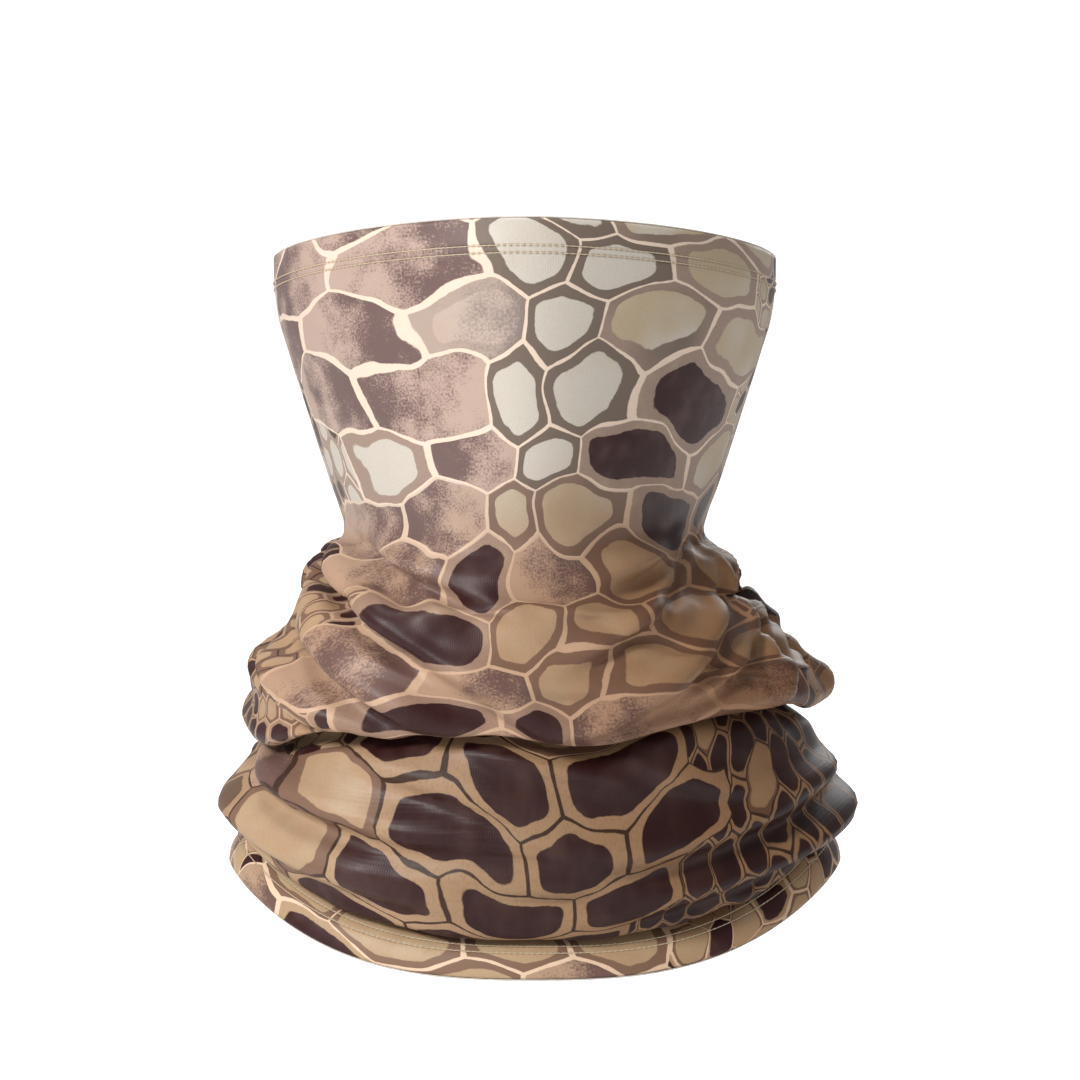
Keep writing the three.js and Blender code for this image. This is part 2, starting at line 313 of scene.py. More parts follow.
def design_form(s, rows, columns):
    """The cloth's rows and columns in its worn shape, each place's angle, and the cloth's length at each row."""
    full, run_full = spline(cloth_line(s, 1.0), rows)
    flat, run_flat = spline(cloth_line(s, 0.0), rows)
    fine = np.linspace(-math.pi, math.pi, 721)
    roll = smooth(np.abs(fine), 0.6, 1.35)[None, :] * (1 - 0.4 * smooth(np.abs(fine), 2.2, 3.0))[None, :]
    radius = full[:, :1] * roll + flat[:, :1] * (1 - roll)
    height = full[:, 1:] * roll + flat[:, 1:] * (1 - roll)
    place = worn(s, np.broadcast_to(fine, radius.shape), radius, height)
    grid = np.empty((rows, columns, 3))
    angles = np.empty((rows, columns))
    for i in range(rows):
        run = np.concatenate([[0], np.cumsum(np.linalg.norm(np.diff(place[i], axis=0), axis=1))])
        at = run[-1] * np.arange(columns) / columns
        for k in range(3):
            grid[i, :, k] = np.interp(at, run, place[i, :, k])
        angles[i] = np.interp(at, run, fine)
    length = (run_full + run_flat) / 2
    return grid, angles, length


def folds(s, grid, angles, length):
    """Swags that run from the sides of the neck down to the front, and long shallow folds in the drapes."""
    height = grid[..., 2]
    sway = soft_noise(grid, 22, Vector((3.1, 7.7, 1.3)))
    drift = soft_noise(grid, 9, Vector((8.2, 2.4, 5.9)))
    turn = np.abs(angles) / 1.45
    left = smooth(-angles, -0.15, 0.5)

    def crest(phase):
        return 2 * (0.5 + 0.5 * np.cos(2 * math.pi * phase)) ** 1.7 - 0.75

    at = stations(s)
    edge = at["upper_edge"]
    in_upper = smooth(-height, -14 * MM, 8 * MM) * (1 - smooth(length[:, None], edge - 4 * MM, edge + 8 * MM))
    clear_front = smooth(np.abs(angles), 0.05, 0.55) * 0.85 + 0.15
    sag = (62 - 14 * left) * MM * np.clip(1 - turn, -0.4, 1)
    phase = (height + sag + 9 * MM * sway) / ((19 + 7 * drift) * MM) + 0.35 * np.sign(angles) * 0.5
    amount = (1.1 + 1.7 * left) * MM * clear_front * in_upper
    push = amount * crest(phase)

    begin, end = at["lower_start"], at["lower_edge"]
    in_lower = smooth(length[:, None], begin - 6 * MM, begin + 10 * MM)
    in_lower = in_lower * (1 - smooth(length[:, None], end - 3 * MM, end + 8 * MM))
    phase = (height + 22 * MM * np.clip(1 - turn, -0.5, 1) + 12 * MM * sway) / ((17 + 9 * drift) * MM)
    push += 1.5 * MM * in_lower * crest(phase) * (0.5 + 0.5 * smooth(np.abs(angles), 0.3, 1.1))
    loose = smooth(length[:, None], 0.10, 0.14)
    push += 1.6 * MM * loose * drift
    return grid + normals_of(grid) * push[..., None]


FOLD_REACH = 82 * MM  # how far from the axis the drapes hang
FOLD_MOST, HOLLOW_MOST, LEAN_MOST = 7.0 * MM, 3.4 * MM, 3.2 * MM

# Each fold starts at its first place, is drawn towards its second and ends at its third. A place is an angle from
# the front in degrees and a height in mm. The last two numbers are how proud and how wide the fold is, in mm.
UPPER_FOLDS = (
    ((-80, 4), (-34, -12), (6, -56), 5.2, 4.6),
    ((-86, -8), (-52, -30), (-14, -60), 4.6, 4.2),
    ((-90, -20), (-66, -42), (-40, -57), 3.8, 3.8),
    ((-76, 9), (-38, 3), (-4, -20), 3.4, 2.8),
    ((-80, -2), (-58, -8), (-34, -22), 2.6, 2.4),
    ((-82, 14), (-54, 10), (-28, 0), 2.6, 2.3),
    ((64, 4), (67, -22), (61, -50), 5.0, 4.4),
    ((58, -10), (38, -40), (8, -58), 3.8, 4.6),
    ((86, -8), (94, -34), (88, -50), 4.2, 4.2),
    ((72, 10), (46, 3), (18, -12), 2.6, 3.0),
    ((-16, -36), (8, -46), (36, -38), 1.8, 4.6),
    ((-88, 1), (-62, -20), (-28, -46), 4.0, 2.8),
    ((-78, -10), (-46, -26), (-12, -47), 3.2, 2.5),
    ((50, 4), (32, -22), (4, -38), 2.8, 2.7),
    ((86, 2), (60, -32), (30, -50), 3.6, 2.8),
    ((98, 1), (136, -24), (176, -47), 4.4, 4.8),
    ((104, -15), (146, -40), (196, -55), 3.8, 4.2),
    ((264, 3), (224, -18), (184, -30), 4.4, 4.4),
    ((258, -13), (226, -38), (200, -50), 3.6, 4.2),
)
LOWER_FOLDS = (
    ((-84, -64), (-52, -82), (-14, -90), 4.4, 4.0),
    ((-88, -75), (-60, -97), (-18, -106), 4.0, 4.2),
    ((86, -66), (48, -89), (4, -98), 4.6, 4.4),
    ((90, -78), (56, -100), (14, -111), 4.0, 4.0),
    ((-44, -64), (-18, -74), (6, -82), 3.4, 3.2),
    ((-14, -62), (4, -67), (24, -71), 2.6, 2.8),
    ((-72, -70), (-24, -92), (34, -92), 3.4, 2.6),
    ((-62, -86), (-8, -112), (52, -98), 3.0, 2.5),
    ((26, -66), (50, -82), (80, -68), 3.4, 2.6),
    ((100, -66), (140, -82), (184, -86), 4.2, 4.4),
    ((262, -68), (222, -87), (172, -97), 4.2, 4.4),
)


def lay_folds(s, grid, length):
    """Raises each fold along its sagging line, leans it downwards and sinks the cloth below it."""
    at = stations(s)
    loose = smooth(length, at["neck"] - 12 * MM, at["neck"])
    grid = relaxed(grid, loose, 5)
    turn = np.arctan2(grid[..., 0], -grid[..., 1])
    normal = normals_of(relaxed(grid, loose, 14))
    push = np.zeros(turn.shape)
    lean = np.zeros(turn.shape)
    for lines, first, last in (
        (UPPER_FOLDS, at["neck"] - 2 * MM, at["upper_edge"] - 1 * MM),
        (LOWER_FOLDS, at["lower_start"] + 2 * MM, at["lower_edge"] - 1 * MM),
    ):
        layer = (smooth(length, first, first + 10 * MM) * (1 - smooth(length, last - 8 * MM, last)))[:, None]
        for start, middle, end, proud, wide in lines:
            t = np.linspace(0, 1, 40)[:, None]
            ends = np.array([start, middle, end], float)
            line = (1 - t) ** 2 * ends[0] + 2 * t * (1 - t) * ends[1] + t * t * ends[2]
            centre = math.radians(ends[:, 0].mean())
            swing = (turn - centre + math.pi) % (2 * math.pi) - math.pi
            along = (np.radians(line[:, 0]) - centre) * FOLD_REACH
            up = line[:, 1] * MM
            gap = (swing[..., None] * FOLD_REACH - along) ** 2 + (grid[..., 2, None] - up) ** 2
            nearest = gap.argmin(axis=-1)
            share = nearest / (len(line) - 1)
            heading = np.stack([np.gradient(along), np.gradient(up)])
            heading /= np.linalg.norm(heading, axis=0)
            if heading[0].mean() < 0:
                heading = -heading
            off = np.stack([swing * FOLD_REACH - along[nearest], grid[..., 2] - up[nearest]])
            below = -(off[1] * heading[0][nearest] - off[0] * heading[1][nearest])
            beside = np.abs(off[0] * heading[0][nearest] + off[1] * heading[1][nearest])
            width = wide * MM * (0.75 + 0.5 * share)
            fade = np.exp(-((beside / (6 * MM)) ** 2))
            fade = fade * smooth(share, -0.25, 0.2) * (1 - smooth(share, 0.72, 1.12))
            crest = np.exp(-((below / width) ** 2))
            hollow = np.exp(-(((below - 1.55 * width) / (0.75 * width)) ** 2))
            push += 1.3 * proud * MM * layer * fade * (crest - 0.75 * hollow)
            lean += 0.7 * proud * MM * layer * fade * crest
    push += fine_creases(at, turn, grid, length)
    push = np.where(push > 0, FOLD_MOST * np.tanh(push / FOLD_MOST), HOLLOW_MOST * np.tanh(push / HOLLOW_MOST))
    lean = LEAN_MOST * np.tanh(lean / LEAN_MOST)
    push, lean = eased(push), eased(lean)
    out = grid + normal * push[..., None]
    out[..., 2] -= lean
    return relaxed(out, loose, 1)


def fine_creases(at, turn, grid, length):
    """Narrow creases that fan out from the gathers at each side of the neck."""
    near = smooth(length, at["neck"] - 4 * MM, at["neck"] + 6 * MM) * (1 - smooth(length, 0.140, 0.168))
    sway = soft_noise(grid, 30, Vector((5.3, 1.9, 8.8)))
    out = np.zeros(turn.shape)
    for side, sag, amount in ((-1, 40, 2.1), (1, 34, 1.6)):
        away = (side * turn - math.radians(88) + math.pi) % (2 * math.pi) - math.pi
        phase = (grid[..., 2] - sag * MM * away + 4 * MM * sway) / (8.4 * MM)
        wave = 2 * (0.5 + 0.5 * np.cos(2 * math.pi * phase)) ** 2 - 0.75
        out += amount * MM * wave * np.exp(-((away / 0.62) ** 2)) * near[:, None]
    return out


def eased(values):
    """Each value moved halfway to the mean of its four neighbours."""
    up, down = np.roll(values, 1, axis=0), np.roll(values, -1, axis=0)
    up[0], down[-1] = values[0], values[-1]
    beside = np.roll(values, 1, axis=1) + np.roll(values, -1, axis=1)
    return values * 0.5 + (up + down + beside) * 0.125


def relaxed(grid, share, times):
    """The grid with its sharpest pinches eased, as much as each row's share says."""
    for _ in range(times):
        grid = grid + (eased(grid) - grid) * share[:, None, None]
    return grid


def inner_form(s, columns):
    """A plain head, neck and shoulders inside the cloth, for the cloth to rest on."""
    points = cloth_line(s, 0.0)[:6].copy()
    points[:, 0] -= 1.4 * MM
    points[0, 1] += 20 * MM
    slope = ((-1, -8), (3, -24), (8, -44), (12, -62))
    below = [(s.neck_half_width + out * MM, drop * MM) for out, drop in slope]
    below += [(s.upper_half_width - 16 * MM, -84 * MM), (s.lower_half_width - 18 * MM, -104 * MM)]
    below.append((s.lower_half_width - 14 * MM, -150 * MM))
    line, _ = spline(np.vstack([points, below]), 60)
    angle = np.linspace(-math.pi, math.pi, columns, endpoint=False)
    return worn(s, angle[None, :], line[:, :1], line[:, 1:])


# ---------------------------------------------------------------- meshes from grids

def ring_faces(rows, columns, first=0, flip=False):
    i, j = np.meshgrid(np.arange(rows - 1), np.arange(columns), indexing="ij")
    k = (j + 1) % columns
    here, next_row = i * columns, (i + 1) * columns
    quads = np.stack([here + j, next_row + j, next_row + k, here + k], axis=-1).reshape(-1, 4) + first
    return quads[:, ::-1] if flip else quads


def new_mesh(name, points, faces):
    mesh = bpy.data.meshes.new(name)
    mesh.from_pydata(np.asarray(points).reshape(-1, 3).tolist(), [], np.asarray(faces).tolist())
    mesh.validate()
    mesh.update()
    piece = bpy.data.objects.new(name, mesh)
    bpy.context.scene.collection.objects.link(piece)
    return piece


def cloth_simulation(s, grid, length, frames):
    """Lets the cloth crumple on the inner form."""
    rows, columns = grid.shape[:2]
    up = CRUMPLE_SCALE
    cloth = new_mesh("relaxing_cloth", grid * up, ring_faces(rows, columns))
    cloth.shape_key_add(name="Worn")
    rest = cloth.shape_key_add(name="Flat")
    angle = 2 * math.pi * np.arange(columns) / columns
    radius = s.girth * 0.975 / (2 * math.pi) * up
    tube = np.empty_like(grid)
    tube[..., 0] = radius * np.sin(angle + math.pi)[None, :]
    tube[..., 1] = -radius * np.cos(angle + math.pi)[None, :]
    tube[..., 2] = -length[:, None] * up * 1.02
    rest.data.foreach_set("co", tube.reshape(-1).astype(np.float32))
    rest.value = 0

    goal = np.full((rows, columns), 0.34)
    face = 1 - smooth(length, 0.085, 0.115)
    goal += (0.9 - goal) * face[:, None]
    goal[length < 0.014] = 1
    hem = length > length[-1] - 0.012
    goal[hem] = 1
    group = cloth.vertex_groups.new(name="Hold")
    for index, weight in enumerate(goal.reshape(-1)):
        group.add([index], float(weight), "REPLACE")

    body = new_mesh("relaxing_form", inner_form(s, 96) * up, ring_faces(60, 96))
    body.modifiers.new("Collision", "COLLISION")
    body.collision.thickness_outer = 0.006
    body.collision.cloth_friction = 8

    modifier = cloth.modifiers.new("Cloth", "CLOTH")
    settings, contact = modifier.settings, modifier.collision_settings
    settings.quality = 7
    settings.mass = 0.012
    settings.tension_stiffness = settings.compression_stiffness = 18
    settings.shear_stiffness = 7
    settings.bending_stiffness = 0.35
    settings.tension_damping = settings.compression_damping = settings.shear_damping = 6
    settings.air_damping = 2
    settings.vertex_group_mass = group.name
    settings.pin_stiffness = 1.2
    settings.rest_shape_key = rest
    contact.distance_min = 0.008
    contact.use_self_collision = True
    contact.self_distance_min = 0.012
    contact.collision_quality = 3
    scene = bpy.context.scene
    modifier.point_cache.frame_start = 1
    modifier.point_cache.frame_end = frames
    for number in range(1, frames + 1):
        scene.frame_set(number)
    ready = cloth.evaluated_get(bpy.context.evaluated_depsgraph_get()).data
    out = np.empty(rows * columns * 3, np.float32)
    ready.vertices.foreach_get("co", out)
    out = out.reshape(grid.shape).astype(float) / up
    for thing in (cloth, body):
        mesh = thing.data
        bpy.data.objects.remove(thing)
        bpy.data.meshes.remove(mesh)
    scene.frame_set(1)
    return out


def finer(grid, rows, columns):
    """The grid at another number of rows and columns, by cubic curves both ways."""
    def resample(values, count, closed):
        n = values.shape[0]
        at = np.arange(count) * (n / count) if closed else np.linspace(0, n - 1, count)
        low = np.floor(at).astype(int)
        t = (at - low)[:, None, None]

        def pick(k):
            index = low + k
            return values[index % n] if closed else values[np.clip(index, 0, n - 1)]

        return cubic(*(pick(k) for k in (-1, 0, 1, 2)), t)

    tall = resample(grid, rows, False)
    return resample(tall.transpose(1, 0, 2), columns, True).transpose(1, 0, 2)


def shell(name, outer, inner, lengths, girth, materials):
    """A closed sheet between two grids, with cloth coordinates, the first material outside, the second inside."""
    rows, columns = outer.shape[:2]
    count = rows * columns
    j = np.arange(columns)
    k = (j + 1) % columns
    top = np.stack([j, k, k + count, j + count], axis=-1)
    last = (rows - 1) * columns
    bottom = np.stack([last + k, last + j, last + j + count, last + k + count], axis=-1)
    faces = np.vstack([ring_faces(rows, columns), ring_faces(rows, columns, count, True), top, bottom])
    piece = new_mesh(name, np.vstack([outer.reshape(-1, 3), inner.reshape(-1, 3)]), faces)
    mesh = piece.data
    for material in materials:
        mesh.materials.append(material)
    side = np.zeros(len(faces), np.int32)
    inner_from, inner_to = len(faces) // 2 - columns, len(faces) - 2 * columns
    side[inner_from:inner_to] = 1
    mesh.polygons.foreach_set("material_index", side)
    mesh.polygons.foreach_set("use_smooth", np.ones(len(faces), bool))
    corner = np.empty(len(mesh.loops), np.int32)
    mesh.loops.foreach_get("vertex_index", corner)
    row, column = (corner % count) // columns, (corner % count) % columns
    face_of = np.repeat(np.arange(len(faces)), 4)
    highest = np.maximum.reduceat(column, np.arange(0, len(corner), 4))[face_of]
    column = np.where((column == 0) & (highest == columns - 1), columns, column)
    uv = np.column_stack([column / columns * girth, np.asarray(lengths)[row]])
    layer = mesh.uv_layers.new(name="Cloth")
    layer.data.foreach_set("uv", uv.reshape(-1).astype(np.float32))
    mesh.update()
    piece["rows"], piece["columns"] = rows, columns
    return piece


def grid_of(name):
    """The outer face of a cloth piece as a grid, and the cloth's length at each row."""
    piece = bpy.data.objects[name]
    rows, columns = piece["rows"], piece["columns"]
    co = np.empty(len(piece.data.vertices) * 3, np.float32)
    piece.data.vertices.foreach_get("co", co)
    outer = co.reshape(-1, 3)[: rows * columns].reshape(rows, columns, 3)
    return outer.astype(float), np.array(piece["lengths"])


def along_row(grid, lengths, at, count):
    """count points and normals round the tube, at a length of cloth from the rim."""
    position = np.interp(at, lengths, np.arange(len(lengths)))
    low = int(min(math.floor(position), len(lengths) - 2))
    t = position - low
    normal = normals_of(grid)
    row = grid[low] * (1 - t) + grid[low + 1] * t
    out = normal[low] * (1 - t) + normal[low + 1] * t
    n = len(row)
    where = np.arange(count) * n / count
    a, share = np.floor(where).astype(int), (where % 1)[:, None]
    b = (a + 1) % n
    return row[a] * (1 - share) + row[b] * share, out[a] * (1 - share) + out[b] * share


def tube(name, path, radius, material, sides=5, closed=True):
    """A round thread along a path."""
    along = np.roll(path, -1, axis=0) - np.roll(path, 1, axis=0)
    along /= np.linalg.norm(along, axis=1, keepdims=True)
    up = np.array([0.0, 0.0, 1.0])
    across = np.cross(along, up)
    across /= np.maximum(np.linalg.norm(across, axis=1, keepdims=True), 1e-9)
    other = np.cross(across, along)
    rings = []
    for k in range(sides):
        turn = 2 * math.pi * k / sides
        rings.append(path + radius * (math.cos(turn) * across + math.sin(turn) * other))
    points = np.stack(rings)
    n = len(path)
    faces = []
    for k in range(sides):
        for i in range(n if closed else n - 1):
            m = (i + 1) % n
            faces.append((k * n + i, k * n + m, (k + 1) % sides * n + m, (k + 1) % sides * n + i))
    piece = new_mesh(name, points, faces)
    if not closed:
        edit = bmesh.new()
        edit.from_mesh(piece.data)
        bmesh.ops.holes_fill(edit, edges=[e for e in edit.edges if e.is_boundary])
        edit.to_mesh(piece.data)
        edit.free()
    piece.data.polygons.foreach_set("use_smooth", np.ones(len(piece.data.polygons), bool))
    piece.data.materials.append(material)
    return piece


# ---------------------------------------------------------------- node helpers

class Value:
    """A socket that can be used in sums, so that a shader reads as the sum it is."""

    def __init__(self, tree, socket):
        self.tree, self.socket = tree, socket

    def math(self, kind, *others, clamp=False):
        node = self.tree.nodes.new("ShaderNodeMath")
        node.operation, node.use_clamp = kind, clamp
        for socket, value in zip(node.inputs, (self, *others)):
            if isinstance(value, Value):
                self.tree.links.new(value.socket, socket)
            else:
                socket.default_value = value
        return Value(self.tree, node.outputs[0])

    def __add__(self, other):
        return self.math("ADD", other)

    def __sub__(self, other):
        return self.math("SUBTRACT", other)

    def __mul__(self, other):
        return self.math("MULTIPLY", other)

    def __truediv__(self, other):
        return self.math("DIVIDE", other)

    def ramp(self, low, high, smoothly=True):
        """0 below low, 1 above high."""
        node = self.tree.nodes.new("ShaderNodeMapRange")
        node.interpolation_type = "SMOOTHSTEP" if smoothly else "LINEAR"
        for name, value in (("Value", self), ("From Min", low), ("From Max", high)):
            if isinstance(value, Value):
                self.tree.links.new(value.socket, node.inputs[name])
            else:
                node.inputs[name].default_value = value
        return Value(self.tree, node.outputs["Result"])


def node(tree, kind, inputs=None, **settings):
    made = tree.nodes.new(kind)
    for name, value in settings.items():
        setattr(made, name, value)
    for name, value in (inputs or {}).items():
        if isinstance(value, Value):
            tree.links.new(value.socket, made.inputs[name])
        else:
            made.inputs[name].default_value = value
    return made


def mix(tree, share, first, second, blend="MIX"):
    made = tree.nodes.new("ShaderNodeMix")
    made.data_type, made.blend_type = "RGBA", blend
    for socket, value in ((made.inputs[0], share), (made.inputs[6], first), (made.inputs[7], second)):
        if isinstance(value, Value):
            tree.links.new(value.socket, socket)
        else:
            socket.default_value = value if isinstance(value, float) else (*value, 1)
    return Value(tree, made.outputs[2])


def new_group(name, inputs, outputs):
    tree = bpy.data.node_groups.new(name, "ShaderNodeTree")
    kinds = {"float": "NodeSocketFloat", "vector": "NodeSocketVector", "color": "NodeSocketColor"}
    for socket, (kind, value) in inputs.items():
        made = tree.interface.new_socket(socket, in_out="INPUT", socket_type=kinds[kind])
        if value is not None:
            made.default_value = value
    for socket, kind in outputs.items():
        tree.interface.new_socket(socket, in_out="OUTPUT", socket_type=kinds[kind])
    entry, exit_node = tree.nodes.new("NodeGroupInput"), tree.nodes.new("NodeGroupOutput")
    given = {socket: Value(tree, entry.outputs[socket]) for socket in inputs}

    def give(**results):
        for key, value in results.items():
            tree.links.new(value.socket, exit_node.inputs[key])

    return tree, given, give


def use_group(tree, group, inputs):
    made = tree.nodes.new("ShaderNodeGroup")
    made.node_tree = bpy.data.node_groups[group]
    for name, value in inputs.items():
        if isinstance(value, Value):
            tree.links.new(value.socket, made.inputs[name])
        else:
            made.inputs[name].default_value = value
    return {o.name: Value(tree, o) for o in made.outputs}


def vector(tree, x, y, z=0.0):
    return Value(tree, node(tree, "ShaderNodeCombineXYZ", {"X": x, "Y": y, "Z": z}).outputs[0])


def parts_of(tree, value):
    made = node(tree, "ShaderNodeSeparateXYZ", {"Vector": value})
    return [Value(tree, made.outputs[i]) for i in range(3)]


def noise_at(tree, place, scale, detail=2.0, output="Fac"):
    made = node(tree, "ShaderNodeTexNoise", {"Vector": place, "Scale": scale, "Detail": detail})
    return Value(tree, made.outputs[output])


# ---------------------------------------------------------------- shared effects

def hex_cells(tree, across, down):
    """A staggered lattice of scales: each one's column and row, the way across from its middle, three picks that
    are its own, and how far its edge is, first with sharp corners and then with round ones."""
    high = math.sqrt(3)

    def nearest(shift):
        side = (across - 0.5 * shift).math("FLOORED_MODULO", 1.0) - 0.5
        lift = (down - high / 2 * shift).math("FLOORED_MODULO", high) - high / 2
        return side, lift, side * side + lift * lift

    (side_a, lift_a, far_a), (side_b, lift_b, far_b) = nearest(0), nearest(1)
    first = far_a.math("LESS_THAN", far_b)
    side = side_b + first * (side_a - side_b)
    lift = lift_b + first * (lift_a - lift_b)
    column = ((across - side) * 2).math("ROUND")
    row = ((down - lift) / (high / 2)).math("ROUND")
    picks = node(tree, "ShaderNodeTexWhiteNoise", {"Vector": vector(tree, column, row)}, noise_dimensions="2D")
    wide = side.math("ABSOLUTE")
    soft_wide = (side * side + 0.006).math("SQRT")
    slant = lift.math("ABSOLUTE") * (high / 2)
    edge = wide.math("MAXIMUM", wide * 0.5 + slant) * -1.0 + 0.5
    soft = soft_wide.math("SMOOTH_MAX", soft_wide * 0.5 + slant, 0.16) * -1.0 + 0.5
    return column / 2, row * (high / 2), side, parts_of(tree, Value(tree, picks.outputs["Color"])), edge, soft


def make_print_group(c):
    """Scales of many sizes and colours, from the cloth's own coordinates in metres."""
    names = ("cream", "khaki", "mauve", "pink", "maroon", "band", "pale_band", "tan", "brown", "line",
             "dark_line")
    inputs = {"Place": ("vector", None)}
    inputs.update({n: ("color", (*getattr(c, n), 1)) for n in names})
    tree, given, give = new_group("Scale print", inputs, {"Color": "color", "Ink": "float"})
    wide_pitch, tall_pitch, small_pitch = 52.0, 22.6, 10.5

    def column_at(x):
        t = min(max((x + 28) / 62, 0), 1)
        return x / wide_pitch + 1.1 * t * t * (3 - 2 * t)

    u, v, _ = parts_of(tree, given["Place"])
    x, y = (u - 0.25) * 1000, v * 1000
    flat = vector(tree, x / 100, y / 100)
    sway_x, sway_y, _ = parts_of(tree, noise_at(tree, flat, 1.7, 1.0, "Color"))
    ripple_x, ripple_y, _ = parts_of(tree, noise_at(tree, flat, 5.5, 1.0, "Color"))
    x = x + (sway_x - 0.5) * 44 + (ripple_x - 0.5) * 6
    y = y + (sway_y - 0.5) * 34 + (ripple_y - 0.5) * 5
    back = x * -1.0
    across = x / wide_pitch + x.ramp(-28, 34) * (y.ramp(140, 225) * -0.8 + 1.1)
    across = across + x.ramp(104, 150) * 2.4 - back.ramp(104, 150) * 2.4
    across = across + x * y.ramp(175, 225) / 150
    big = hex_cells(tree, across + 0.12, y / tall_pitch + y.ramp(215, 300) * 1.9 + 0.35)
    small = hex_cells(tree, x / small_pitch, y / (small_pitch * 0.95))
    column, row, side, (pick, pick_b, pick_c), edge, soft = big
    level = row * tall_pitch
    level = level - level.ramp(215, 340) * 38

    def right_of(at, soft_by=0.3):
        slip = level.ramp(140, 225) * (0.8 if at > 0 else 0.0) - level.ramp(175, 225) * (at / 150)
        return (column + slip - column_at(at)).ramp(-soft_by, soft_by)

    def below(at, soft_by=12.0):
        return (level - at).ramp(-soft_by, soft_by)

    def chosen(share, by):
        return (share - by).ramp(0.0, 0.01, False)

    # Where each colour of scale is likely: level is the distance from the rim, and columns go round the tube.
    face = below(96) * -1.0 + 1.0
    low = below(228)
    hem = below(312, 5.0)
    middle = below(96) * (low * -1.0 + 1.0)
    right = right_of(-12)
    left = right * -1.0 + 1.0
    outer_right, outer_left = right_of(56), right_of(-78) * -1.0 + 1.0
    maroon_share = face * right_of(30) * below(44, 10) * 0.9
    maroon_share = maroon_share + low * (outer_left * -0.5 + 0.72) + face * outer_left * 0.2
    maroon_share = maroon_share + low * right_of(24) * 0.25
    maroon_share = (maroon_share + middle * outer_left * 0.75 + middle * 0.10) * (hem * -0.7 + 1.0)
    dark = chosen(maroon_share, pick)
    mauve_share = face * left * 0.88 + middle * (left * 0.35 + 0.2) + low * 0.22 + hem * 0.3
    mauve = chosen(mauve_share, pick_b) * (dark * -1.0 + 1.0)
    cluster_share = outer_right * (low * 0.95 + face * 0.25) + right_of(104) * 0.5
    cluster_share = cluster_share + (right_of(-108) * -1.0 + 1.0) * 0.6
    cluster_share = cluster_share + middle * (right_of(-56) * -1.0 + 1.0) * 0.75
    cluster = chosen(cluster_share, pick_c)
    _, _, _, small_picks, small_edge, small_soft = small
    small_dark = chosen(low * 0.5 + 0.35 - hem * 0.45, small_picks[0])
    dark = dark + cluster * (small_dark - dark)
    mauve = mauve * (cluster * -1.0 + 1.0)
    edge = edge * tall_pitch
    edge = edge + cluster * (small_edge * small_pitch - edge)
    soft = soft * tall_pitch
    soft = soft + cluster * (small_soft * small_pitch - soft)

    cloud = noise_at(tree, flat, 4.2, 1.0)
    patch = noise_at(tree, flat, 9.0, 2.0)
    grain = noise_at(tree, flat, 130, 1.0)
    uneven = noise_at(tree, flat, 30, 2.0)
    warm = middle + low
    creamy = cloud * 1.2 + face * 0.25 - warm * 0.25 - right_of(38) * 0.42
    pale = mix(tree, creamy.ramp(0.35, 0.8), given["khaki"], given["cream"])
    tanned = mix(tree, patch.ramp(0.35, 0.7), given["tan"], given["khaki"])
    pale = mix(tree, (warm * 0.8 + pick_c * 0.35).ramp(0.35, 0.95), pale, tanned)
    turned = pick_c.math("GREATER_THAN", 0.35) * 2.0 - 1.0
    shade = side * turned * 0.9 + patch * 1.5 + (grain - 0.5) * 1.1 - 0.32
    stipple = shade.ramp(0.22, 0.72, False)
    mauves = mix(tree, stipple, mix(tree, warm * 0.5, given["pink"], given["tan"]), given["mauve"])
    fill = mix(tree, mauve, pale, mauves)
    lit_maroon = mix(tree, patch.ramp(0.4, 0.8) * 0.35, given["maroon"], given["mauve"])
    fill = mix(tree, dark, fill, lit_maroon)

    # A band runs inside each scale's edge: grey-brown round pale scales, tan round dark ones, and none round
    # stippled ones.
    near_middle = right_of(-12) * (right_of(44) * -1.0 + 1.0) * face
    pale_band = mix(tree, (near_middle * 0.75 + cloud * 0.8).ramp(0.45, 0.95), given["pale_band"], given["band"])
    pale_band = mix(tree, warm * 0.8, pale_band, given["brown"])
    dark_band = mix(tree, (low + middle * outer_left).ramp(0.3, 0.8), given["pale_band"], given["tan"])
    dark_band = mix(tree, patch.ramp(0.45, 0.75) * 0.5, dark_band, given["khaki"])
    band_colour = mix(tree, dark, pale_band, dark_band)
    band_colour = mix(tree, (grain - 0.45).ramp(0.0, 0.25) * 0.25, band_colour, given["brown"])
    width = (cloud - 0.5) * 4.0 + (uneven - 0.5) * 0.9 + 2.9 + cluster * -1.6 - low * 0.5
    band = (width - soft).ramp(-0.16, 0.16) * (mauve * -1.0 + 1.0)
    colour = mix(tree, band, fill, band_colour)
    dark_lines = (low * (hem * -0.8 + 1.0) + middle * outer_left * 0.8).ramp(0.35, 0.7)
    soft_line = mix(tree, middle * 0.55, given["line"], given["tan"])
    lines = mix(tree, dark_lines, soft_line, given["dark_line"])
    half = (cloud - 0.5) * 1.5 + (uneven - 0.5) * 0.5 + 0.52
    half = half + mauve * 0.2 - cluster * 0.22 - dark_lines * 0.12
    half = half.math("MAXIMUM", 0.22)
    thin = (half - edge).ramp(-0.1, 0.12)
    colour = mix(tree, thin, colour, lines)
    speckle = (grain - 0.5) * 0.16 + 1.0
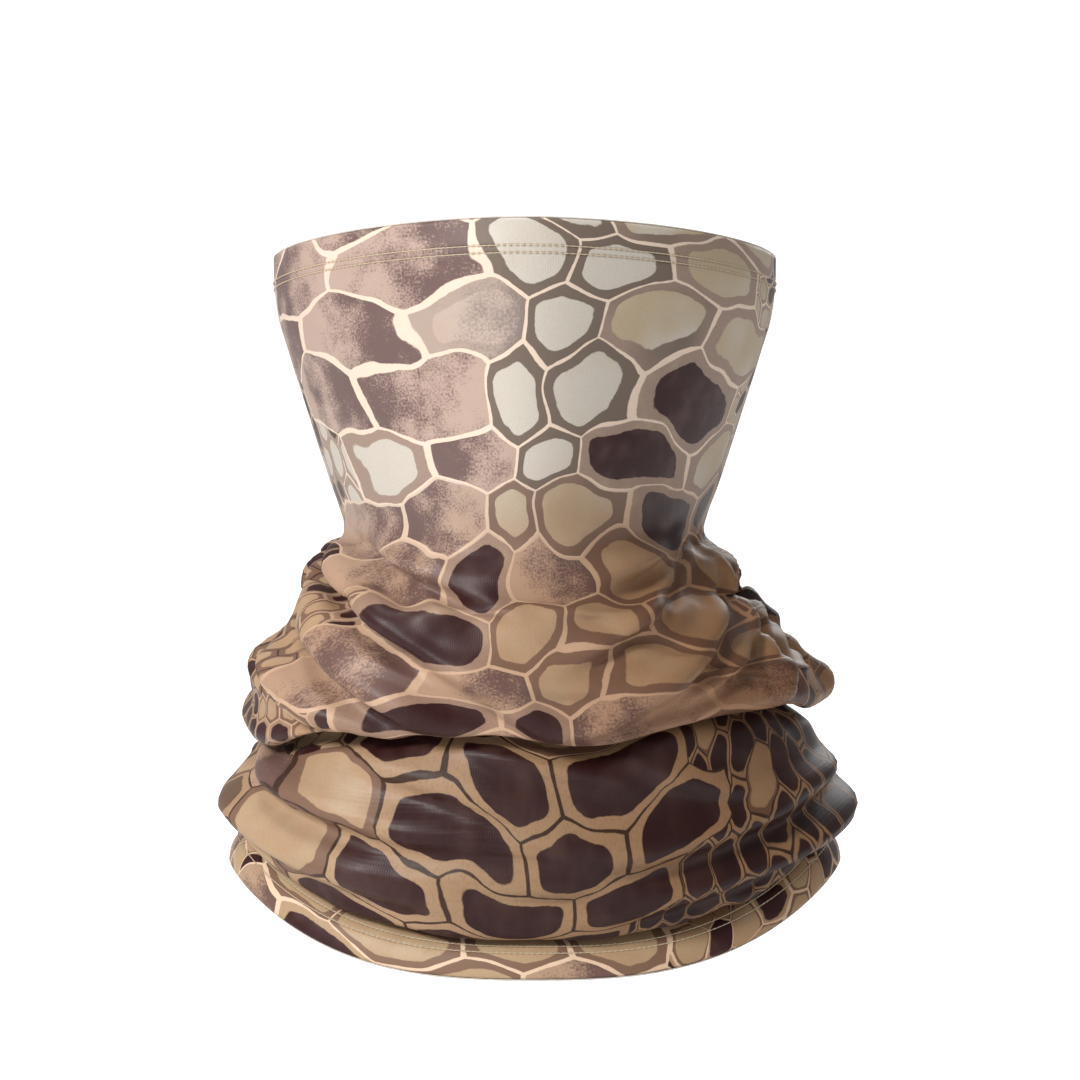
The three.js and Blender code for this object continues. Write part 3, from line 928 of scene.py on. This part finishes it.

    # The print is darker and browner below the face. Towards the right it is darkened much further, a painted shade
    # for the side away from the key light, darkest on the lower cloth.
    in_front = x.ramp(140, 190) * -1.0 + 1.0
    tint_and_painted_shade = mix(tree, y.ramp(80, 118), (1.0, 1.0, 1.0), (0.90, 0.78, 0.70))
    # Painted shade: the lower cloth is darker on its right, the side away from the key light.
    low_tint_and_right_shade = mix(tree, x.ramp(-62, 5) * in_front, (0.92, 0.82, 0.75), (0.72, 0.60, 0.50))
    tint_and_painted_shade = mix(tree, y.ramp(195, 235), tint_and_painted_shade, low_tint_and_right_shade)
    tint_and_painted_shade = mix(tree, y.ramp(296, 304), tint_and_painted_shade, (1.02, 0.94, 0.84))
    # Painted shade: below the face the print darkens strongly towards the right, the side away from the key light.
    painted_right_shade = x.ramp(-32, 72) * in_front * y.ramp(50, 118)
    right_shade_colour = mix(tree, y.ramp(195, 235), (0.50, 0.335, 0.225), (0.50, 0.36, 0.27))
    right_shade_colour = mix(tree, y.ramp(296, 304), right_shade_colour, (0.80, 0.68, 0.57))
    tint_and_painted_shade = mix(tree, painted_right_shade * 0.95, tint_and_painted_shade, right_shade_colour)
    colour = mix(tree, 1.0, colour, tint_and_painted_shade, "MULTIPLY")
    colour = mix(tree, 1.0, colour, vector(tree, speckle, speckle, speckle), "MULTIPLY")
    give(Color=colour, Ink=band)


def make_knit_group():
    """The wales and courses of a fine jersey, as a height, from the cloth's coordinates in metres."""
    tree, given, give = new_group("Fine knit", {"Place": ("vector", None), "Pitch": ("float", 0.0007)},
                                  {"Height": "float", "Fuzz": "float"})
    u, v, _ = parts_of(tree, given["Place"])
    turn = 2 * math.pi
    wale = (u * turn / given["Pitch"]).math("SINE")
    course = (v * (turn * 1.25) / given["Pitch"] + wale * 0.9).math("SINE")
    place = vector(tree, u * 1000, v * 1000)
    fuzz = noise_at(tree, place, 0.9, 3.0)
    give(Height=wale * 0.5 + course * 0.35 + fuzz * 0.8, Fuzz=fuzz)


def make_pucker_group():
    """How the cloth dimples along a row of stitches: a height and a shade round one length of the cloth."""
    inputs = {"Place": ("vector", None), "Row": ("float", 0.01), "Stitch": ("float", 0.0017)}
    tree, given, give = new_group("Stitch pucker", inputs, {"Height": "float", "Shade": "float"})
    u, v, _ = parts_of(tree, given["Place"])
    away = (v - given["Row"]).math("ABSOLUTE")
    near = (away * -1.0).ramp(-0.0007, -0.0001)
    beat = (u * 2 * math.pi / given["Stitch"]).math("SINE") * 0.5 + 0.5
    wide = (away * -1.0).ramp(-0.006, -0.001)
    ruck = noise_at(tree, vector(tree, u * 1000, v * 250), 0.28, 2.0)
    give(Height=wide * ruck * 0.7 - near * (beat * 0.5 + 0.5), Shade=near * beat)


def base_material(name, roughness, sheen=0.0):
    material = bpy.data.materials.new(name)
    material.use_nodes = True
    tree = material.node_tree
    shader = tree.nodes["Principled BSDF"]
    shader.inputs["Roughness"].default_value = roughness
    shader.inputs["Sheen Weight"].default_value = sheen
    shader.inputs["Sheen Roughness"].default_value = 0.45
    shader.inputs["Specular IOR Level"].default_value = 0.28
    uv = Value(tree, node(tree, "ShaderNodeUVMap", uv_map="Cloth").outputs[0])
    return material, tree, shader, uv


def add_bump(tree, shader, height, distance, strength, normal=None):
    inputs = {"Height": height, "Distance": distance, "Strength": strength}
    if normal:
        inputs["Normal"] = normal
    made = Value(tree, node(tree, "ShaderNodeBump", inputs).outputs[0])
    tree.links.new(made.socket, shader.inputs["Normal"])
    return made


def make_materials(s, c, total):
    material, tree, shader, uv = base_material("camo_jersey", 0.5, 0.02)
    printed = use_group(tree, "Scale print", {"Place": uv})
    knit = use_group(tree, "Fine knit", {"Place": uv})
    colour = printed["Color"]
    height = knit["Height"] * 0.35
    for row in (*TOP_STITCH_ROWS, *(total - away for away in BOTTOM_STITCH_ROWS)):
        pucker = use_group(tree, "Stitch pucker", {"Place": uv, "Row": row, "Stitch": s.stitch})
        height = height + pucker["Height"] * 3.0
        colour = mix(tree, pucker["Shade"] * 0.38, colour, c.dark_line)
    tree.links.new(colour.socket, shader.inputs["Base Color"])
    rough = knit["Fuzz"] * 0.16 + printed["Ink"] * 0.04 + 0.34
    tree.links.new(rough.socket, shader.inputs["Roughness"])
    add_bump(tree, shader, height, 0.0001, 0.55)

    material, tree, shader, uv = base_material("jersey_back", 0.85, 0.15)
    knit = use_group(tree, "Fine knit", {"Place": uv})
    printed = use_group(tree, "Scale print", {"Place": uv})
    tint = mix(tree, 0.13, c.back, printed["Color"])
    tree.links.new(tint.socket, shader.inputs["Base Color"])
    rough = knit["Fuzz"] * 0.1 + 0.78
    tree.links.new(rough.socket, shader.inputs["Roughness"])
    add_bump(tree, shader, knit["Height"], 0.0001, 0.5)

    material, tree, shader, uv = base_material("spun_thread", 0.55, 0.1)
    place = Value(tree, node(tree, "ShaderNodeTexCoord").outputs["Object"])
    fibre = noise_at(tree, place, 5200, 2.0)
    tree.links.new(mix(tree, fibre.ramp(0.3, 0.7), tuple(0.72 * k for k in c.thread), c.thread).socket,
                   shader.inputs["Base Color"])
    tree.links.new((fibre * 0.2 + 0.45).socket, shader.inputs["Roughness"])
    add_bump(tree, shader, fibre, 0.00005, 0.6)


# ---------------------------------------------------------------- operators

class MASK_OT_cloth(bpy.types.Operator):
    """Make the printed cloth in two pieces that meet in the crease behind the upper drape"""

    bl_idname = "mask.cloth"
    bl_label = "Printed cloth"

    def execute(self, context):
        s, c = context.scene.mask_sizes, context.scene.mask_colours
        grid, angles, length = design_form(s, COARSE_ROWS, COARSE_COLUMNS)
        grid = folds(s, grid, angles, length)
        grid = cloth_simulation(s, grid, length, CRUMPLE_FRAMES)
        total = float(length[-1])
        grid = finer(grid, FINE_ROWS, FINE_COLUMNS)
        length = np.linspace(0, total, FINE_ROWS)
        grid = lay_folds(s, grid, length)
        context.scene["mask_length"] = total
        make_print_group(c)
        make_knit_group()
        make_pucker_group()
        make_materials(s, c, total)
        inside = grid - normals_of(grid) * s.cloth
        crease = int(np.searchsorted(length, stations(s)["upper_crease"]))
        looks = [bpy.data.materials[n] for n in ("camo_jersey", "jersey_back")]
        for name, rows in ((UPPER, slice(0, crease + 1)), (LOWER, slice(crease, None))):
            piece = shell(name, grid[rows], inside[rows], length[rows], s.girth, looks)
            piece["lengths"] = [float(x) for x in length[rows]]
        upper, lower = bpy.data.objects[UPPER], bpy.data.objects[LOWER]
        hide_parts("face_panel", "neck_roll", "upper_drape", "upper_tuck", "top_hem_face")
        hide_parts("lower_drape", "lower_tuck", "bottom_hem_face")
        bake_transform(upper)
        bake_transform(lower)
        return {"FINISHED"}


def move(piece, at_top):
    """The top hem rides on its band. The bottom hem's sides hang higher, so it is left in place, on no band."""
    if at_top:
        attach(piece, "top_band")
    else:
        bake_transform(piece)


def hem_grid(name, s, at_top, depth):
    """The turned edge: rows from inside the cloth's edge back into the tube, and the lengths they lie
    under."""
    grid, lengths = grid_of(name)
    if not at_top:
        grid, lengths = grid[::-1], lengths[::-1]
    edge = lengths[0]
    run = np.abs(lengths - edge)
    out = normals_of(grid) * (1 if at_top else -1)
    count = 9
    steps = np.linspace(0, depth, count)
    where = np.interp(steps, run, np.arange(len(run)))
    low = np.floor(where).astype(int)
    share = (where - low)[:, None, None]
    place = grid[low] * (1 - share) + grid[low + 1] * share
    normal = out[low] * (1 - share) + out[low + 1] * share
    gap = s.cloth + HEM_GAP
    outer, inner = place - normal * gap, place - normal * (gap + s.cloth)
    beyond = grid[0] - grid[1]
    beyond /= np.linalg.norm(beyond, axis=1, keepdims=True)
    bend = []
    for turn in (0.15, 0.5, 0.85):
        lift, swing = math.sin(turn * math.pi), math.cos(turn * math.pi)
        centre = grid[0] - out[0] * (gap / 2 + s.cloth / 2)
        bend.append((centre, lift, swing))
    reach = gap / 2 + s.cloth / 2
    first = [centre + beyond * reach * lift + out[0] * reach * swing for centre, lift, swing in bend]
    second = [centre + beyond * HEM_GAP * lift + out[0] * 0.1 * MM * swing for centre, lift, swing in bend]
    outside = np.concatenate([np.array(second), outer])
    inside = np.concatenate([np.array(first), inner])
    return outside, inside, steps


class MASK_OT_hems(bpy.types.Operator):
    """Turn the cloth's edges in behind the two hems"""

    bl_idname = "mask.hems"
    bl_label = "Hem turnings"

    def execute(self, context):
        s = context.scene.mask_sizes
        looks = [bpy.data.materials[n] for n in ("camo_jersey", "jersey_back")]
        for name, source, at_top, node_name in (
            ("top_hem_turned_cloth", UPPER, True, "top_hem_turning"),
            ("bottom_hem_turned_cloth", LOWER, False, "bottom_hem_turning"),
        ):
            outside, inside, steps = hem_grid(source, s, at_top, s.hem_depth)
            lengths = np.concatenate([[0, 0, 0], steps])
            if not at_top:
                outside, inside, lengths = outside[::-1], inside[::-1], lengths[::-1]
            piece = shell(name, inside, outside, lengths, s.girth, looks[::-1])
            piece.data.flip_normals()
            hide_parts(node_name)
            move(piece, at_top)
        return {"FINISHED"}


class MASK_OT_stitching(bpy.types.Operator):
    """Sew both hems: two rows of needle stitches outside and the looper thread inside"""

    bl_idname = "mask.stitching"
    bl_label = "Hem stitching"

    def execute(self, context):
        s = context.scene.mask_sizes
        thread = bpy.data.materials["spun_thread"]
        for source, at_top, label, rows in (
            (UPPER, True, "top", TOP_STITCH_ROWS),
            (LOWER, False, "bottom", BOTTOM_STITCH_ROWS),
        ):
            grid, lengths = grid_of(source)
            stitches = int(s.girth / s.stitch)
            count = stitches * POINTS_PER_STITCH
            beat = 2 * math.pi * np.arange(count) / POINTS_PER_STITCH

            def level(from_edge):
                return from_edge if at_top else lengths[-1] - from_edge

            for side, from_edge in zip(("outer", "inner"), rows):
                place, out = along_row(grid, lengths, level(from_edge), count)
                lift = (0.10 + 0.34 * np.cos(beat)) * s.thread * 1.4
                path = place + out * lift[:, None]
                piece = tube(f"{label}_{side}_needle_thread", path, s.thread / 2, thread)
                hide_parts(f"{label}_hem_{side}_needle_thread")
                move(piece, at_top)
            near, out = along_row(grid, lengths, level(rows[0]), count)
            far, _ = along_row(grid, lengths, level(rows[1]), count)
            swing = (0.5 + 0.5 * np.cos(beat))[:, None]
            path = near * swing + far * (1 - swing) - out * (2 * s.cloth + 0.32 * MM)
            piece = tube(f"{label}_looper_thread", path, s.thread / 2, thread)
            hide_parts(f"{label}_hem_looper_thread")
            move(piece, at_top)
        return {"FINISHED"}


class MASK_OT_back_seam(bpy.types.Operator):
    """Stand the tube's two cut edges inside along the back, bound with an overlock thread"""

    bl_idname = "mask.back_seam"
    bl_label = "Back seam"

    def execute(self, context):
        s = context.scene.mask_sizes
        for source, part, span, ends in (
            (UPPER, "upper", (0.0145, 0.003), TOP_PULL),
            (LOWER, "lower", (0.004, 0.0145), BOTTOM_PULL),
        ):
            grid, lengths = grid_of(source)
            first, last = lengths[0] + span[0], lengths[-1] - span[1]
            chosen = np.where((lengths >= first) & (lengths <= last))[0]
            out = normals_of(grid)[chosen]
            rows = grid[chosen]
            columns = rows.shape[1]
            reach = (-2, -1, 0, 1, 2)
            picked = np.stack([rows[:, k % columns] for k in reach], axis=1)
            normal = out[:, 0][:, None]
            width = np.linspace(-3 * MM, 3 * MM, len(reach))
            side = picked[:, -1] - picked[:, 0]
            side /= np.linalg.norm(side, axis=1, keepdims=True)
            centre = picked[:, 2][:, None]
            flat = centre + side[:, None] * width[None, :, None]
            near = flat - normal * (s.cloth + SEAM_GAP)
            far = near - normal * 2 * s.cloth
            piece = strip(f"back_seam_allowance_{part}_cloth", near, far, lengths[chosen], width)
            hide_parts(f"back_seam_allowance_{part}")
            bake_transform(piece)
            path = overlock(near, far, normal[:, 0], side, lengths[chosen], 1.8 * MM)
            piece = tube(f"back_seam_overlock_{part}_thread", path, s.thread / 2,
                         bpy.data.materials["spun_thread"], 4, False)
            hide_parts(f"back_seam_overlock_{part}")
            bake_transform(piece)
        return {"FINISHED"}


def strip(name, near, far, lengths, width):
    """A closed strip of cloth between two small grids."""
    rows, columns = near.shape[:2]
    count = rows * columns

    def at(layer, i, j):
        return layer * count + i * columns + j

    faces = []
    for i in range(rows - 1):
        for j in range(columns - 1):
            faces.append((at(0, i, j), at(0, i + 1, j), at(0, i + 1, j + 1), at(0, i, j + 1)))
            faces.append((at(1, i, j), at(1, i, j + 1), at(1, i + 1, j + 1), at(1, i + 1, j)))
        faces.append((at(0, i, 0), at(1, i, 0), at(1, i + 1, 0), at(0, i + 1, 0)))
        last = columns - 1
        faces.append((at(0, i, last), at(0, i + 1, last), at(1, i + 1, last), at(1, i, last)))
    for j in range(columns - 1):
        faces.append((at(0, 0, j), at(0, 0, j + 1), at(1, 0, j + 1), at(1, 0, j)))
        end = rows - 1
        faces.append((at(0, end, j), at(1, end, j), at(1, end, j + 1), at(0, end, j + 1)))
    piece = new_mesh(name, np.vstack([near.reshape(-1, 3), far.reshape(-1, 3)]), faces)
    mesh = piece.data
    mesh.materials.append(bpy.data.materials["jersey_back"])
    mesh.polygons.foreach_set("use_smooth", np.ones(len(mesh.polygons), bool))
    corner = np.empty(len(mesh.loops), np.int32)
    mesh.loops.foreach_get("vertex_index", corner)
    spot = corner % count
    uv = np.column_stack([width[spot % columns], np.asarray(lengths)[spot // columns]])
    mesh.uv_layers.new(name="Cloth").data.foreach_set("uv", uv.reshape(-1).astype(np.float32))
    mesh.update()
    return piece


def overlock(near, far, normal, side, lengths, pitch):
    """A thread that winds over the edge of the seam allowance and back."""
    run = lengths - lengths[0]
    turns = max(4, int(run[-1] / pitch))
    count = turns * 8
    at = np.linspace(0, run[-1], count)

    def follow(values):
        return np.column_stack([np.interp(at, run, values[:, k]) for k in range(3)])

    edge = follow((near[:, -1] + far[:, -1]) / 2)
    across, out = follow(side), follow(normal)
    beat = 2 * math.pi * np.arange(count) / 8
    thick = np.linalg.norm(near[0, 0] - far[0, 0]) / 2 + 0.2 * MM
    over_the_edge = (1.2 * MM * np.cos(beat) - 0.9 * MM)[:, None]
    return edge + across * over_the_edge + out * (thick * np.sin(beat))[:, None]


class MASK_OT_stage(bpy.types.Operator):
    """Add the pale floor, the soft lights and the camera"""

    bl_idname = "mask.stage"
    bl_label = "Stage"

    def execute(self, context):
        scene = context.scene
        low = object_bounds()[0][2] - HEM_TRAVEL - 2 * MM
        front, back, bend_size, top, half_width, steps = -2.6, 1.6, 0.9, 3.2, 4.0, 12
        bend = []
        for step in range(steps + 1):
            turn = math.pi / 2 * step / steps
            bend.append((back + bend_size * math.sin(turn), low + bend_size * (1 - math.cos(turn))))
        line = [(front, low), (0.0, low)] + bend + [(back + bend_size, low + top)]
        points = [(x, y, z) for y, z in line for x in (-half_width, half_width)]
        faces = [(2 * i, 2 * i + 1, 2 * i + 3, 2 * i + 2) for i in range(len(line) - 1)]
        floor = new_mesh("floor", points, faces)
        floor.data.polygons.foreach_set("use_smooth", np.ones(len(faces), bool))
        material = bpy.data.materials.new("pale_floor")
        material.use_nodes = True
        shader = material.node_tree.nodes["Principled BSDF"]
        shader.inputs["Base Color"].default_value = (0.93, 0.93, 0.93, 1)
        shader.inputs["Roughness"].default_value = 0.9
        shader.inputs["Emission Color"].default_value = (1, 1, 1, 1)
        tree = material.node_tree
        seen = node(tree, "ShaderNodeLightPath").outputs["Is Camera Ray"]
        tree.links.new((Value(tree, seen) * 0.62).socket, shader.inputs["Emission Strength"])
        floor.data.materials.append(material)
        floor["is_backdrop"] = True

        world = bpy.data.worlds.new("studio")
        world.use_nodes = True
        tree = world.node_tree
        sky = tree.nodes["Background"]
        sky.inputs["Color"].default_value = (1, 1, 1, 1)
        seen = node(tree, "ShaderNodeLightPath").outputs["Is Camera Ray"]
        tree.links.new((Value(tree, seen) * 0.74 + 0.26).socket, sky.inputs["Strength"])
        scene.world = world
        scene.view_settings.view_transform = "Standard"
        for name, place, wide, power in (
            ("key", (-0.95, -1.1, 0.75), 0.40, 22),
            ("fill", (0.5, -1.5, 0.2), 0.8, 1.6),
            ("top", (-0.2, -0.1, 1.7), 0.6, 14),
            ("back", (0.6, 1.5, 0.9), 1.0, 10),
        ):
            light = bpy.data.lights.new(name, "AREA")
            light.size, light.energy = wide, power
            lamp = bpy.data.objects.new(name, light)
            lamp.location = place
            lamp.rotation_euler = (-Vector(place)).to_track_quat("-Z", "Y").to_euler()
            scene.collection.objects.link(lamp)

        camera = bpy.data.cameras.new("camera")
        camera.sensor_width, camera.lens = 36, CAMERA_LENS
        eye = bpy.data.objects.new("camera", camera)
        eye.location = CAMERA_PLACE
        eye.rotation_euler = (math.pi / 2, 0, 0)
        scene.collection.objects.link(eye)
        scene.camera = eye
        return {"FINISHED"}


class MASK_PT_panel(bpy.types.Panel):
    """Sizes, colours and steps of the mask"""

    bl_label = "Camouflage face mask"
    bl_idname = "MASK_PT_panel"
    bl_space_type = "VIEW_3D"
    bl_region_type = "UI"
    bl_category = "Mask"

    def draw(self, context):
        for settings in (context.scene.mask_sizes, context.scene.mask_colours):
            box = self.layout.box()
            for name in settings.bl_rna.properties.keys():
                if name not in ("rna_type", "name"):
                    box.prop(settings, name)
        for step in STEPS:
            self.layout.operator(step.bl_idname)


STEPS = (MASK_OT_cloth, MASK_OT_hems, MASK_OT_stitching, MASK_OT_back_seam, MASK_OT_stage)
CLASSES = (MASK_PG_sizes, MASK_PG_colours, *STEPS, MASK_PT_panel)


def register():
    for made in CLASSES:
        bpy.utils.register_class(made)
    bpy.types.Scene.mask_sizes = PointerProperty(type=MASK_PG_sizes)
    bpy.types.Scene.mask_colours = PointerProperty(type=MASK_PG_colours)


def unregister():
    del bpy.types.Scene.mask_colours
    del bpy.types.Scene.mask_sizes
    for made in reversed(CLASSES):
        bpy.utils.unregister_class(made)


def main():
    register()
    bpy.ops.mask.cloth()
    bpy.ops.mask.hems()
    bpy.ops.mask.stitching()
    bpy.ops.mask.back_seam()
    bpy.ops.mask.stage()
    sewn = [o for o in bpy.data.objects if o.type == "MESH" and o.name.endswith(("_thread", "_turned_cloth"))]
    seams = [o for o in bpy.data.objects if o.name.startswith("back_seam_allowance")]
    sewn += [o for o in seams if o.name.endswith("_cloth")]


if __name__ == "__main__":
    main()
